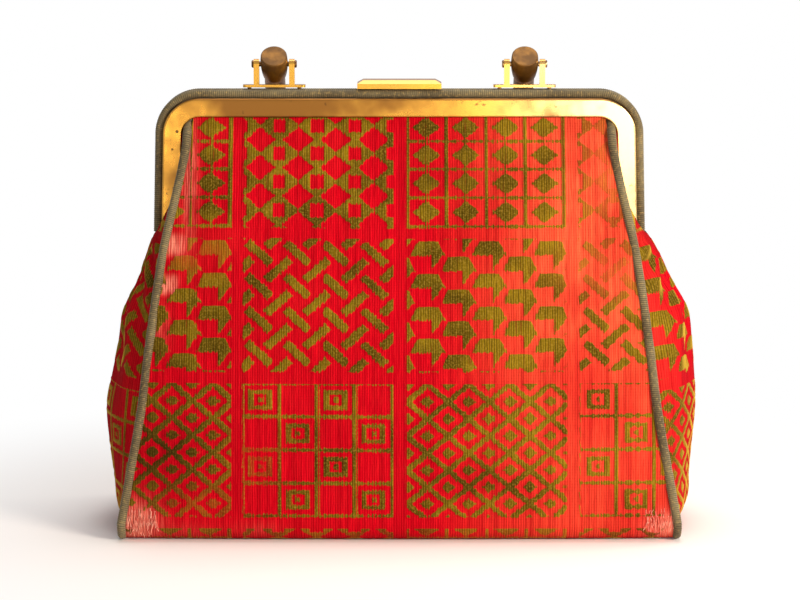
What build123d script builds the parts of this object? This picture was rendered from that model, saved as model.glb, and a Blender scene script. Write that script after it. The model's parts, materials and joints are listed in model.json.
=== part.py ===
from build123d import *
import os
from math import sqrt

# Framed velvet handbag, in millimetres. X runs across the bag, the front faces -Y, Z is up.
# The origin is the middle of the base, on the surface that the bag stands on.

# General
overrun = 6.0             # how far every cut runs past what it cuts
soft_gap = 0.4            # room between soft pieces
fit_gap = 0.02            # room round a pin that stays put
running_gap = 0.05        # room round a pin that turns
side_play = 0.15          # room beside a turning ear or knuckle
swing_gap = 0.4           # room between metal pieces that pass each other

# Bag body
cloth = 1.6               # velvet with its interlining
seam_base_half = 137.0    # half the distance between the pipings at the base
panel_base_depth = 54.0   # panel edge from the mid plane at the base
panel_top_depth = 7.4     # the same inside the frame
panel_swell = 8.0         # how far the middle of a panel stands out from its edges
turn_radius = 9.0         # the panel turns under the base with this radius
hem_width = 2.0           # the panels lie flat under the base by this much past their turn
gusset_swell = 20.0       # how far the gussets stand out past the seams, at most
station_reach = 16.0      # the panels are drawn this far past the seams and then trimmed
piping_radius = 2.25
piping_room = 0.9         # room between the piping and the cloth edges beside it
board = 2.5               # stiffener in the bottom
lining_cloth = 0.8
lining_slack = 2.0        # the lining hangs this far inside the panels
lining_sole_inset = 5.0   # the lining draws in by this much at its bottom

# Brass frame
frame_top = 214.9
frame_half_width = 117.4  # outer half width at the shoulders
frame_flare = 1.8         # the legs spread by this much down to the hinge
seam_inset = 13.9         # the seams enter the frame this far inside its shoulders
frame_depth = 9.2         # each half, from the mid plane to its face
frame_corner = 18.0       # outer corner radius
face_band = 9.3           # width of the visible face
sheet = 1.2               # brass sheet
lip_width = 5.0           # inner lip of the channel
fold_radius = 0.9
mid_gap = 0.3             # each half stays this far from the mid plane
hinge_z = 148.0
ear_radius = 6.0
ear_sheet = 1.2
ear_reach = 14.0          # height of the ear above the hinge
rivet_radius = 1.5
rivet_head_radius = 3.0
rivet_head = 0.9
tuck = 5.5                # how far the panel tops reach up inside the frame
notch_height = 38.0       # the gusset is notched this far up for the legs, and slit above
slit_half = 1.0

# Corded edging of the frame
welt_radius = 2.15
welt_y = 4.6
welt_seat = 0.05

# Handle brackets and handle
bracket_half_span = 62.75
bracket_length = 31.3
bracket_depth = 5.0
bracket_plate = 1.3
bracket_corner = 1.2
post_width = 2.75
post_gap = 15.0
pin_height = 10.3         # handle pin above the bracket plate
pin_radius = 1.3
pin_head_radius = 1.9
pin_head = 1.1
bracket_rivet_radius = 1.0
bracket_rivet_span = 25.0
ferrule_radius = 6.6
ferrule_belly = 0.2       # swelling of the ferrule
ferrule_mouth_radius = 5.9
ferrule_front = 6.2       # from the pin to the flat end
ferrule_back = 7.5        # from the pin to the mouth
ferrule_socket = 5.0
ferrule_edge = 0.6
grip_radius = 5.2
grip_leg = 35.0           # straight part of the handle, from the pin
handle_drop = 44.5        # degrees below level at which the handle rests behind the bag

# Clasp
clasp_width = 42.0
clasp_top_width = 36.0
clasp_half_depth = 7.8
clasp_bevel_depth = 2.2
clasp_edge = 2.5
clasp_bevel = 1.7
clasp_hollow = 0.8
knuckle_radius = 1.7
knuckle_pin_radius = 0.8
knuckle_half = 6.6
leaf_half_width = 14.0
leaf = 1.0
leaf_height = 8.0         # how far the leaf reaches down the back face
leaf_rivet_radius = 1.0
leaf_rivet_head_radius = 1.8
leaf_rivet_head = 0.7
leaf_rivet_half_span = 10.0
catch_length = 18.0
catch_foot = 1.8
catch_nose = 1.0

# Worked out from the above
seam_room = piping_radius + piping_room
seam_top_half = frame_half_width - seam_inset
face_bottom = frame_top - face_band
panel_top = face_bottom + tuck
frame_leg_half = frame_half_width + frame_flare
web_inner_half = frame_leg_half - sheet
welt_offset = welt_radius + welt_seat
welt_top = frame_top + welt_offset + welt_radius
plate_bottom = welt_top + soft_gap
plate_top = plate_bottom + bracket_plate
pin_z = plate_top + pin_height
back_ear_x = web_inner_half - swing_gap - rivet_head - side_play - ear_sheet
front_ear_x = back_ear_x - mid_gap - ear_sheet
clasp_bottom = plate_bottom
knuckle_y = frame_depth + leaf
knuckle_z = clasp_bottom + knuckle_radius
notch_z = hinge_z - ear_radius - swing_gap
notch_half = frame_depth + swing_gap
station_half = seam_base_half + station_reach
base_half_depth = panel_base_depth - turn_radius - hem_width
board_bottom = cloth + soft_gap
lining_bottom = board_bottom + board + soft_gap
gusset_foot = 2 * piping_radius + piping_room

# Shape of the body from the turned edge up to the frame, bottom to top:
# height, seam half width, panel depth, panel swell and gusset swell, as shares of the named sizes
height_shares = (0.0, 0.11, 0.285, 0.464, 0.688, 0.872, 1.0)
seam_shares = (1.0, 0.88, 0.7, 0.57, 0.375, 0.135, 0.0)
depth_shares = (1.0, 0.955, 0.83, 0.645, 0.378, 0.16, 0.0)
swell_shares = (0.3, 0.55, 0.9, 1.0, 0.88, 0.5, 0.0)
gusset_shares = (0.074, 0.503, 1.0, 0.97, 0.43, -0.05, -0.015)
# Lining: side seam as a share of the bag's seam or of the room in the frame, and how far its sides bow
lining_seam_shares = (0.96, 0.96, 0.96, 0.95, 0.9, 0.915, 0.935)
lining_bow_shares = (0.037, 0.446, 0.963, 0.886, -0.11, -0.11, -0.078)


def level_table():
    """Height, seam half width, panel depth, swell and ridge of each level of the body."""
    rows = []
    shares = zip(height_shares, seam_shares, depth_shares, swell_shares, gusset_shares)
    for height_share, seam_share, depth_share, swell_share, gusset_share in shares:
        z = turn_radius + height_share * (face_bottom - turn_radius)
        seam = seam_top_half + seam_share * (seam_base_half - seam_top_half)
        depth = panel_top_depth + depth_share * (panel_base_depth - panel_top_depth)
        ridge = seam + gusset_share * gusset_swell
        rows.append((z, seam, depth, swell_share * panel_swell, ridge))
    return rows


levels = level_table()


def seam_depth(seam, depth, swell):
    """Distance of the seam from the mid plane: the panel's swell fades out towards its edges."""
    return depth + swell * (1 - (seam / station_half) ** 2)


def mirror_x(shape):
    return mirror(shape, about=Plane.YZ)


def mirror_y(shape):
    return mirror(shape, about=Plane.XZ)


# Velvet panels

def panel_section(x, swell_share):
    """Upright slice through the front panel and its turned edge, in the plane at x."""
    base = panel_base_depth + swell_share * levels[0][3]
    outer = [(-(depth + swell_share * swell), z) for z, _, depth, swell, _ in levels]
    inner = [(y + cloth, z) for y, z in outer]
    hem = -(base_half_depth + soft_gap)
    turn = -(base - turn_radius)
    top = (-panel_top_depth, panel_top)
    inner_top = (-panel_top_depth + cloth, panel_top)
    bend = sqrt(0.5)
    upper_slope = (outer[-1][0] - outer[-2][0], outer[-1][1] - outer[-2][1])
    outside = Spline(*outer, tangents=((0, 1), upper_slope))
    inside = Spline(*inner, tangents=((0, 1), upper_slope))
    outer_mid = (turn - turn_radius * bend, turn_radius * (1 - bend))
    inner_radius = turn_radius - cloth
    inner_mid = (turn - inner_radius * bend, turn_radius - inner_radius * bend)
    edges = [
        Line(top, outer[-1]),
        outside,
        ThreePointArc(outer[0], outer_mid, (turn, 0)),
        Line((turn, 0), (hem, 0)),
        Line((hem, 0), (hem, cloth)),
        Line((hem, cloth), (turn, cloth)),
        ThreePointArc((turn, cloth), inner_mid, inner[0]),
        inside,
        Line(inner[-1], inner_top),
        Line(inner_top, top),
    ]
    return Plane.YZ.offset(x) * make_face(Wire(edges))


def panel_outline():
    """Front view of a panel: the cloth between the two pipings."""
    side = [(seam - seam_room, z) for z, seam, _, _, _ in levels]
    foot = (side[0][0], -overrun)
    top = (side[-1][0], panel_top + overrun)
    right = Polyline(foot, side[0]) + Spline(*side) + Polyline(side[-1], top)
    left = mirror(right, about=Plane.YZ)
    closing = Line(top, (-top[0], top[1])) + Line(foot, (-foot[0], foot[1]))
    return make_face(right.edges() + left.edges() + closing.edges())


def velvet_front():
    stations = ((-station_half, 0), (0, 1), (station_half, 0))
    sheet_of_cloth = loft([panel_section(x, swell_share) for x, swell_share in stations])
    window = extrude(Plane.XZ * panel_outline(), amount=station_half)
    return sheet_of_cloth & window


def velvet_base():
    width = 2 * (seam_base_half - seam_room)
    return extrude(Rectangle(width, 2 * base_half_depth), amount=cloth)


def base_board():
    width = 2 * (seam_base_half - seam_room - soft_gap)
    plate = RectangleRounded(width, 2 * base_half_depth, turn_radius)
    return extrude(Plane.XY.offset(board_bottom) * plate, amount=board)


# Gussets

def gusset_section(z, seam, front, ridge):
    """Level slice through the right gusset: a bowed strip between the two pipings."""
    end = front - seam_room
    half = cloth / 2
    outer = ThreePointArc((seam + half, -end), (ridge, 0), (seam + half, end))
    inner = ThreePointArc((seam - half, end), (ridge - cloth, 0), (seam - half, -end))
    sides = [Line(outer @ 1, inner @ 0), Line(inner @ 1, outer @ 0)]
    return Plane.XY.offset(z) * make_face(Wire([outer, sides[0], inner, sides[1]]))


def gusset_right():
    sections = []
    for z, seam, depth, swell, ridge in levels:
        height = gusset_foot if z == levels[0][0] else z
        sections.append(gusset_section(height, seam, seam_depth(seam, depth, swell), ridge))
    strip = loft(sections)
    notch = Box(2 * station_half, 2 * notch_half, notch_height)
    slit = Box(2 * station_half, 2 * slit_half, frame_top)
    strip -= Pos(station_half, 0, notch_z + notch_height / 2) * notch
    return strip - Pos(station_half, 0, notch_z + frame_top / 2) * slit


# Piping

def piping_right():
    """Corded seam: down the front, along the base and up the back."""
    rows = [(seam, seam_depth(seam, depth, swell), z) for z, seam, depth, swell, _ in levels]
    base_seam, base_front, _ = rows[0]
    knee_radius = piping_radius + fit_gap
    foot = (base_seam, base_front, knee_radius)
    top_seam, top_front, top_z = rows[-1]
    top = (top_seam, top_front + piping_radius, top_z - 2 * piping_radius)
    rings = []
    for seam, front, z in [foot] + rows[1:-1] + [top]:
        rings.append(Plane.XY.offset(z) * (Pos(seam, -front) * Circle(piping_radius)))
    front_cord = loft(rings)
    run = Plane.XZ.offset(-base_front) * (Pos(base_seam, knee_radius) * Circle(piping_radius))
    base_cord = extrude(run, amount=2 * base_front)
    knee = Pos(base_seam, -base_front, knee_radius) * Sphere(knee_radius)
    return front_cord + knee + base_cord + mirror_y(knee) + mirror_y(front_cord)


# Lining

def lining_loop(z, side, front, swell, ridge):
    """Level slice through the inner bag: four bowed sides."""
    front_arc = ThreePointArc((-side, -front), (0, -front - swell), (side, -front))
    right_arc = ThreePointArc((side, -front), (ridge, 0), (side, front))
    back_arc = ThreePointArc((side, front), (0, front + swell), (-side, front))
    left_arc = ThreePointArc((-side, front), (-ridge, 0), (-side, -front))
    return Plane.XY.offset(z) * make_face(Wire([front_arc, right_arc, back_arc, left_arc]))


def lining_body(inset, floor):
    """Solid form of the inner bag, drawn in by the inset."""
    leg_inner = frame_leg_half - face_band - swing_gap
    loops = []
    rows = zip(levels, lining_seam_shares, lining_bow_shares)
    for (z, seam, depth, swell, _), seam_share, bow_share in rows:
        inside_frame = z > notch_z - ear_radius
        side = seam_share * (min(seam, leg_inner) if inside_frame else seam)
        reach = side + bow_share * gusset_swell
        front = depth - cloth - lining_slack - lining_cloth
        bow = swell + lining_cloth
        if not loops:
            sole = inset + lining_sole_inset
            loops.append(lining_loop(floor, side - sole, front - sole, bow, reach - sole))
        loops.append(lining_loop(z, side - inset, front - inset, bow, reach - inset))
    return loft(loops)


def lining():
    outside = lining_body(0, lining_bottom)
    inside = lining_body(lining_cloth, lining_bottom + lining_cloth)
    return outside - inside


# Brass frame halves

def frame_blank(inset, bottom):
    """Front view of the arched frame, drawn in by the inset and cut off at the bottom."""
    drop = frame_top - hinge_z
    spread = frame_flare * (frame_top - inset - bottom) / drop
    shoulder = frame_half_width - inset
    top = frame_top - inset
    corners = [(-shoulder - spread, bottom), (-shoulder, top), (shoulder, top), (shoulder + spread, bottom)]
    blank = make_face(Polyline(*corners, close=True))
    return fillet(blank.vertices().sort_by(Axis.Y)[-2:], frame_corner - inset)


def frame_band(width, bottom):
    """Arched band of the given width along the outer edge of the frame."""
    return frame_blank(0, bottom) - frame_blank(width, bottom - overrun)


def ear(x, reach_sign):
    """Hinge ear on the right leg: a round eye joined to the leg's face."""
    eye = Pos(0, hinge_z) * Circle(ear_radius)
    arm_width = frame_depth - sheet / 2 - mid_gap
    arm_y = -reach_sign * (mid_gap + arm_width / 2)
    arm = Pos(arm_y, hinge_z + ear_reach / 2) * Rectangle(arm_width, ear_reach)
    outline = make_hull((eye + arm).edges())
    hole = Pos(0, hinge_z) * Circle(rivet_radius + running_gap)
    return extrude(Plane.YZ.offset(x) * (outline - hole), amount=ear_sheet)


def front_frame_shell():
    """Folded sheet: visible face, outer web and inner lip."""
    face = extrude(Plane.XZ.offset(frame_depth - sheet) * frame_band(face_band, hinge_z), amount=sheet)
    web = extrude(Plane.XZ.offset(mid_gap) * frame_band(sheet, hinge_z), amount=frame_depth - mid_gap)
    lip_bottom = hinge_z + ear_reach + swing_gap
    lip = extrude(Plane.XZ.offset(mid_gap) * frame_band(lip_width, lip_bottom), amount=sheet)
    shell = face + web + lip
    front_edges = shell.edges().filter_by_position(Axis.Y, -frame_depth - fit_gap, -frame_depth + fit_gap)
    folds = [edge for edge in front_edges if edge.length > face_band + sheet]
    return fillet(folds, fold_radius)


def front_frame():
    ear_right = ear(front_ear_x, 1)
    return front_frame_shell() + ear_right + mirror_x(ear_right)


def back_frame():
    ear_right = ear(back_ear_x, -1)
    shell = mirror_y(front_frame_shell()) + ear_right + mirror_x(ear_right)
    for x in (-leaf_rivet_half_span, leaf_rivet_half_span):
        shell -= leaf_rivet_shank(x, leaf_rivet_radius + fit_gap)
    for x in bracket_rivet_places():
        shell -= bracket_rivet_shank(x, bracket_rivet_radius + fit_gap)
    return shell


def hinge_rivet_right():
    """Rivet through both ears, with a flat head at each end."""
    inner_face = front_ear_x - side_play
    outer_face = back_ear_x + ear_sheet + side_play
    core = Pos(0, hinge_z) * Circle(rivet_radius)
    shank = extrude(Plane.YZ.offset(inner_face) * core, amount=outer_face - inner_face)
    head = Pos(0, hinge_z) * Circle(rivet_head_radius)
    inner_head = extrude(Plane.YZ.offset(inner_face - rivet_head) * head, amount=rivet_head)
    outer_head = extrude(Plane.YZ.offset(outer_face) * head, amount=rivet_head)
    return shank + inner_head + outer_head


# Corded edging

def welt(y):
    """Cord along the outer side of a frame half, from hinge to hinge."""
    drop = frame_top - hinge_z
    leg = frame_leg_half + welt_offset
    spread = frame_flare * welt_offset / drop
    shoulder = frame_half_width + welt_offset - spread
    top = frame_top + welt_offset
    corners = [(-leg, hinge_z), (-shoulder, top), (shoulder, top), (leg, hinge_z)]
    path = Plane.XZ.offset(-y) * FilletPolyline(*corners, radius=frame_corner + welt_offset)
    return sweep(Plane(origin=path @ 0, z_dir=path % 0) * Circle(welt_radius), path)


def back_welt():
    cord = welt(welt_y)
    for x in bracket_rivet_places():
        cord -= bracket_rivet_shank(x, bracket_rivet_radius + soft_gap)
    return cord


# Handle brackets

def bracket_rivet_places():
    """Both rivets of both brackets, along X."""
    places = []
    for side in (-1, 1):
        for half in (-1, 1):
            places.append(side * bracket_half_span + half * bracket_rivet_span / 2)
    return places


def bracket_rivet_shank(x, radius):
    """Upright rivet from under the frame's web to the top of the bracket plate."""
    bottom = frame_top - sheet
    return extrude(Plane.XY.offset(bottom) * (Pos(x, welt_y) * Circle(radius)), amount=plate_top - bottom)


def bracket_rivets():
    return Compound(children=[bracket_rivet_shank(x, bracket_rivet_radius) for x in bracket_rivet_places()])


def bracket(side):
    """Plate with two round-topped posts and the handle pin's holes."""
    centre = side * bracket_half_span
    outline = Pos(centre, welt_y) * RectangleRounded(bracket_length, bracket_depth, bracket_corner)
    plate = extrude(Plane.XY.offset(plate_bottom) * outline, amount=bracket_plate)
    for x in bracket_rivet_places():
        if abs(x - centre) < bracket_length:
            plate -= bracket_rivet_shank(x, bracket_rivet_radius + fit_gap)
    post_radius = bracket_depth / 2
    post_height = pin_z - plate_bottom
    upright = Pos(welt_y, plate_bottom + post_height / 2) * Rectangle(bracket_depth, post_height)
    eye = Pos(welt_y, pin_z) * Circle(post_radius)
    hole = Pos(welt_y, pin_z) * Circle(pin_radius + fit_gap)
    for x in (centre - post_gap / 2 - post_width, centre + post_gap / 2):
        plate += extrude(Plane.YZ.offset(x) * (upright + eye - hole), amount=post_width)
    return plate


def handle_pin(side):
    """Pin through the two posts, with a head on each outer side."""
    centre = side * bracket_half_span
    reach = post_gap / 2 + post_width
    core = Pos(welt_y, pin_z) * Circle(pin_radius)
    shank = extrude(Plane.YZ.offset(centre - reach) * core, amount=2 * reach)
    head = Pos(welt_y, pin_z) * Circle(pin_head_radius)
    left_head = extrude(Plane.YZ.offset(centre - reach - pin_head) * head, amount=pin_head)
    right_head = extrude(Plane.YZ.offset(centre + reach) * head, amount=pin_head)
    outer_edges = [
        left_head.edges().filter_by(GeomType.CIRCLE).sort_by(Axis.X)[0],
        right_head.edges().filter_by(GeomType.CIRCLE).sort_by(Axis.X)[-1],
    ]
    left_head = fillet(outer_edges[0], pin_head / 2)
    right_head = fillet(outer_edges[1], pin_head / 2)
    return shank + left_head + right_head


# Handle, drawn standing on its pins and then laid back to its rest

def laid_back(shape):
    return Location((0, welt_y, pin_z), (-(90 + handle_drop), 0, 0)) * shape


def ferrule(side):
    """Turned barrel: flat end in front, slight belly, socket for the grip behind, bore for the pin."""
    belly = (ferrule_radius + ferrule_belly, 0)
    flat_rim = (ferrule_radius - ferrule_edge, -ferrule_front)
    side_rim = (ferrule_radius, -ferrule_front + ferrule_edge)
    mouth = (ferrule_mouth_radius, ferrule_back)
    socket_radius = grip_radius + running_gap
    socket_end = ferrule_back - ferrule_socket
    profile = [
        Line((0, -ferrule_front), flat_rim),
        RadiusArc(flat_rim, side_rim, -ferrule_edge),
        ThreePointArc(side_rim, belly, mouth),
        Line(mouth, (socket_radius, ferrule_back)),
        Line((socket_radius, ferrule_back), (socket_radius, socket_end)),
        Line((socket_radius, socket_end), (0, socket_end)),
        Line((0, socket_end), (0, -ferrule_front)),
    ]
    barrel = revolve(Plane.XZ * make_face(Wire(profile)), Axis.Z)
    bore = extrude(Plane.YZ * Circle(pin_radius + running_gap), amount=post_gap, both=True)
    return laid_back(Pos(side * bracket_half_span, 0, 0) * (barrel - bore))


def handle_grip():
    """Rod from socket to socket: two straight legs and a half round."""
    start = ferrule_back - ferrule_socket + running_gap
    left_bend = (-bracket_half_span, grip_leg)
    right_bend = (bracket_half_span, grip_leg)
    bow = Line((-bracket_half_span, start), left_bend)
    bow += ThreePointArc(left_bend, (0, grip_leg + bracket_half_span), right_bend)
    bow += Line(right_bend, (bracket_half_span, start))
    path = Plane(origin=(0, 0, 0), x_dir=(1, 0, 0), z_dir=(0, -1, 0)) * Wire(bow.edges())
    rod = sweep(Pos(-bracket_half_span, 0, start) * Circle(grip_radius), path)
    return laid_back(rod)


# Clasp

def clasp_plate():
    """Bevelled plate over both halves, hollow below, with a hinge knuckle at the back."""
    foot = Rectangle(clasp_width, 2 * clasp_half_depth)
    top = Rectangle(clasp_top_width, 2 * (clasp_half_depth - clasp_bevel_depth))
    slab = extrude(Plane.XY.offset(clasp_bottom) * foot, amount=clasp_edge)
    bevel_z = clasp_bottom + clasp_edge
    crown = loft([Plane.XY.offset(bevel_z) * foot, Plane.XY.offset(bevel_z + clasp_bevel) * top])
    hollow = extrude(Plane.XY.offset(clasp_bottom) * top, amount=clasp_hollow)
    neck_bottom = knuckle_z - knuckle_radius / 2
    neck_outline = Rectangle(2 * knuckle_half, knuckle_y - clasp_half_depth)
    neck_place = Plane.XY.offset(neck_bottom) * Pos(0, (clasp_half_depth + knuckle_y) / 2)
    neck = extrude(neck_place * neck_outline, amount=knuckle_radius)
    round_bar = Pos(knuckle_y, knuckle_z) * Circle(knuckle_radius)
    barrel = extrude(Plane.YZ * round_bar, amount=knuckle_half, both=True)
    hole = Pos(knuckle_y, knuckle_z) * Circle(knuckle_pin_radius + running_gap)
    bore = extrude(Plane.YZ * hole, amount=leaf_half_width, both=True)
    return slab + crown - hollow + neck + barrel - bore


def leaf_rivet_shank(x, radius):
    """Level rivet from inside the back face to the outer side of the leaf."""
    core = Pos(x, face_bottom + face_band / 2) * Circle(radius)
    return extrude(Plane.XZ.offset(sheet - frame_depth) * core, amount=-(sheet + leaf))


def clasp_leaf_rivets():
    rivets = []
    for x in (-leaf_rivet_half_span, leaf_rivet_half_span):
        disc = Pos(x, face_bottom + face_band / 2) * Circle(leaf_rivet_head_radius)
        head = extrude(Plane.XZ.offset(-(frame_depth + leaf)) * disc, amount=-leaf_rivet_head)
        rivets.append(leaf_rivet_shank(x, leaf_rivet_radius) + head)
    return Compound(children=rivets)


def clasp_hinge_leaf():
    """Leaf on the back face that rises behind the welt and ends in two knuckles."""
    bottom = frame_top - leaf_height
    strip_place = Pos(frame_depth + leaf / 2, (bottom + knuckle_z) / 2)
    strip_outline = strip_place * Rectangle(leaf, knuckle_z - bottom)
    knuckle = Pos(knuckle_y, knuckle_z) * Circle(knuckle_radius)
    hole = Pos(knuckle_y, knuckle_z) * Circle(knuckle_pin_radius + fit_gap)
    strip = extrude(Plane.YZ * (strip_outline + knuckle - hole), amount=leaf_half_width, both=True)
    room = 2 * (knuckle_half + side_play)
    room_depth = 2 * (knuckle_radius + swing_gap)
    strip -= Pos(0, knuckle_y, knuckle_z) * Box(room, room_depth, room_depth)
    for x in (-leaf_rivet_half_span, leaf_rivet_half_span):
        strip -= leaf_rivet_shank(x, leaf_rivet_radius + fit_gap)
    return strip


def clasp_hinge_pin():
    outline = Plane.YZ * (Pos(knuckle_y, knuckle_z) * Circle(knuckle_pin_radius))
    return extrude(outline, amount=leaf_half_width, both=True)


def clasp_catch():
    """Upright ridge on the front half, with a rounded nose just under the clasp plate."""
    height = clasp_bottom - soft_gap - frame_top
    y = -(mid_gap + fit_gap + catch_foot / 2)
    foot = Pos(y, frame_top + height / 4) * Rectangle(catch_foot, height / 2)
    neck = Pos(y, frame_top + height / 2) * Rectangle(catch_nose, height - catch_nose)
    nose = Pos(y, frame_top + height - catch_nose / 2) * Circle(catch_nose / 2)
    return extrude(Plane.YZ * (foot + neck + nose), amount=catch_length / 2, both=True)


def all_parts():
    """Every piece of the bag under its own name."""
    panel = velvet_front()
    gusset = gusset_right()
    piping = piping_right()
    rivet = hinge_rivet_right()
    return {
        "velvet_front": panel,
        "velvet_back": mirror_y(panel),
        "velvet_base": velvet_base(),
        "gusset_right": gusset,
        "gusset_left": mirror_x(gusset),
        "piping_right": piping,
        "piping_left": mirror_x(piping),
        "lining": lining(),
        "base_board": base_board(),
        "hinge_rivet_right": rivet,
        "hinge_rivet_left": mirror_x(rivet),
        "front_frame": front_frame(),
        "front_welt": welt(-welt_y),
        "clasp_catch": clasp_catch(),
        "back_frame": back_frame(),
        "back_welt": back_welt(),
        "bracket_left": bracket(-1),
        "bracket_right": bracket(1),
        "bracket_rivets": bracket_rivets(),
        "handle_pin_left": handle_pin(-1),
        "handle_pin_right": handle_pin(1),
        "clasp_hinge_leaf": clasp_hinge_leaf(),
        "clasp_leaf_rivets": clasp_leaf_rivets(),
        "clasp_hinge_pin": clasp_hinge_pin(),
        "handle_grip": handle_grip(),
        "ferrule_left": ferrule(-1),
        "ferrule_right": ferrule(1),
        "clasp_plate": clasp_plate(),
    }


os.makedirs("parts", exist_ok=True)
for name, shape in all_parts().items():
    export_step(shape, f"parts/{name}.step")
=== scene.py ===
import bpy
import json
import math
import numpy as np
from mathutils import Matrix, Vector


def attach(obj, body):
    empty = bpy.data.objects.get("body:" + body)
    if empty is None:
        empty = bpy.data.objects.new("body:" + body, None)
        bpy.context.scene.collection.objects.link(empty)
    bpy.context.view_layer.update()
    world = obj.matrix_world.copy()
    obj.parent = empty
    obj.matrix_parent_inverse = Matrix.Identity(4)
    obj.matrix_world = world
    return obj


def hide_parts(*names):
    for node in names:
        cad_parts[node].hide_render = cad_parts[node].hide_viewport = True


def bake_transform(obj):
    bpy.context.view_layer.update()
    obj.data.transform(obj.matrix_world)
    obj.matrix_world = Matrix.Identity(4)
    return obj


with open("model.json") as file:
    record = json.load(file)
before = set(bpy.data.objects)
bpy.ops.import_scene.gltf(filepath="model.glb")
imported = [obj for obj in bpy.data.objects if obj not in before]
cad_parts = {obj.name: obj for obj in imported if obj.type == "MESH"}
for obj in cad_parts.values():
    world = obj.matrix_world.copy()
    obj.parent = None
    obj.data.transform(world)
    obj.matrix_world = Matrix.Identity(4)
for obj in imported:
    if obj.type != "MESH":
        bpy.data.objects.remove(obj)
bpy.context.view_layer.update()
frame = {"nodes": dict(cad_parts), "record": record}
nodes = frame["nodes"]

# Sizes in millimetres, as in the CAD model. Meshes are written in metres.
MM = 0.001

# Panels and gussets: half widths and half depths at the foot and at the frame, and how far they swell.
# A panel's swell would end at the station, a half width beyond its seams.
SEAM_BASE = 137.0
SEAM_TOP = 103.5
DEPTH_BASE = 54.0
DEPTH_TOP = 7.4
PANEL_SWELL = 8.0
GUSSET_SWELL = 20.0
STATION = 153.0

# Foot, seams and cloth
TURN = 9.0
BASE_HALF_DEPTH = 43.0
PIPING = 2.25
SEAM_ROOM = 3.15
CLOTH = 1.6

# Frame, welt and lining
FRAME_TOP = 214.9
FACE_BOTTOM = 205.6
PANEL_TOP = 211.0
FRAME_HALF = 117.4
FRAME_FLARE = 1.8
FRAME_CORNER = 18.0
HINGE_Z = 148.0
WELT = 2.15
WELT_Y = 4.6
LINING = 0.8
LINING_FLOOR = 5.0

# Outlines of panels, gussets and lining as shares of those sizes, from the foot up
HEIGHT_SHARES = np.array([0.0, 0.11, 0.285, 0.464, 0.688, 0.872, 1.0])
SEAM_SHARES = np.array([1.0, 0.88, 0.7, 0.57, 0.375, 0.135, 0.0])
DEPTH_SHARES = np.array([1.0, 0.955, 0.83, 0.645, 0.378, 0.16, 0.0])
SWELL_SHARES = np.array([0.3, 0.55, 0.9, 1.0, 0.88, 0.5, 0.0])
GUSSET_SHARES = np.array([0.074, 0.503, 1.0, 0.97, 0.43, -0.05, -0.015])
LINING_SEAM = np.array([0.96, 0.96, 0.96, 0.95, 0.9, 0.915, 0.935])
LINING_RIDGE = np.array([0.955, 0.955, 0.96, 0.945, 0.88, 0.895, 0.92])

LEVELS = TURN + HEIGHT_SHARES * (FACE_BOTTOM - TURN)
SEAMS = SEAM_TOP + SEAM_SHARES * (SEAM_BASE - SEAM_TOP)
DEPTHS = DEPTH_TOP + DEPTH_SHARES * (DEPTH_BASE - DEPTH_TOP)
SWELLS = SWELL_SHARES * PANEL_SWELL
RIDGES = SEAMS + GUSSET_SHARES * GUSSET_SWELL

# Cloth grid, pitch of the ribs and of the weft, and height of the pile
CELL = 0.82
RIB = 1.2
WEFT = 1.45
PILE = 0.55


# Small maths helpers

def smooth_curve(x, knots, values):
    """Smooth curve through the knots, level beyond both ends."""
    gaps = np.diff(knots)
    slopes = np.diff(values) / gaps
    tangents = np.concatenate([slopes[:1], np.zeros(len(values) - 2), slopes[-1:]])
    tangents[1:-1] = (slopes[:-1] * gaps[1:] + slopes[1:] * gaps[:-1]) / (gaps[1:] + gaps[:-1])
    x = np.clip(x, knots[0], knots[-1])
    i = np.clip(np.searchsorted(knots, x) - 1, 0, len(knots) - 2)
    t = (x - knots[i]) / gaps[i]
    start = (1 + 2 * t) * (1 - t) ** 2 * values[i] + t * (1 - t) ** 2 * gaps[i] * tangents[i]
    end = t * t * (3 - 2 * t) * values[i + 1] + t * t * (t - 1) * gaps[i] * tangents[i + 1]
    return start + end


def ease(x, low, high):
    t = np.clip((x - low) / (high - low), 0, 1)
    return t * t * (3 - 2 * t)


def blob(x, y, cx, cy, rx, ry):
    """Soft round patch, 1 at its middle."""
    return np.exp(-(((x - cx) / rx) ** 2 + ((y - cy) / ry) ** 2))


def patch_at(x, y, cx, cy, rx, ry):
    """Patch with a rather sudden edge, 1 over its middle."""
    return np.exp(-((x - cx) / rx) ** 4 - ((y - cy) / ry) ** 4)


def seam_at(z):
    return smooth_curve(z, LEVELS, SEAMS)


def depth_at(z):
    return smooth_curve(z, LEVELS, DEPTHS)


def swell_at(z):
    return smooth_curve(z, LEVELS, SWELLS)


def ridge_at(z):
    return smooth_curve(z, LEVELS, RIDGES)


def seam_depth_at(z):
    return depth_at(z) + swell_at(z) * (1 - (seam_at(z) / STATION) ** 2)


def along(points):
    """Distance from the first point along a line of points."""
    steps = np.linalg.norm(np.diff(points, axis=0), axis=1)
    return np.concatenate([[0], np.cumsum(steps)])


def evenly(points, step):
    """The same line with points at even steps."""
    far = along(points)
    marks = np.linspace(0, far[-1], max(2, int(round(far[-1] / step)) + 1))
    return np.stack([np.interp(marks, far, points[:, k]) for k in range(points.shape[1])], axis=1)


# Pattern of the cut velvet: six common geometric fields in a chequer. Each gives a distance in millimetres
# from the edge of its motif, positive where the pile stands.

FIELD_PERIOD = 165.8
FIELD_START = -77.5
NARROW_FIELD = 74.3
WIDE_START = 81.2
WIDE_FIELD = 78.7
ROW_PITCH = 71.7
ROW_START = -9.0
ROW_HEIGHT = 66.0
FIELD_MARGIN = 0.4
BARE = -9.0


def wrap(x, centre, pitch):
    """Distance to the nearest of a row of centres."""
    return (x - centre + pitch / 2) % pitch - pitch / 2


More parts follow.
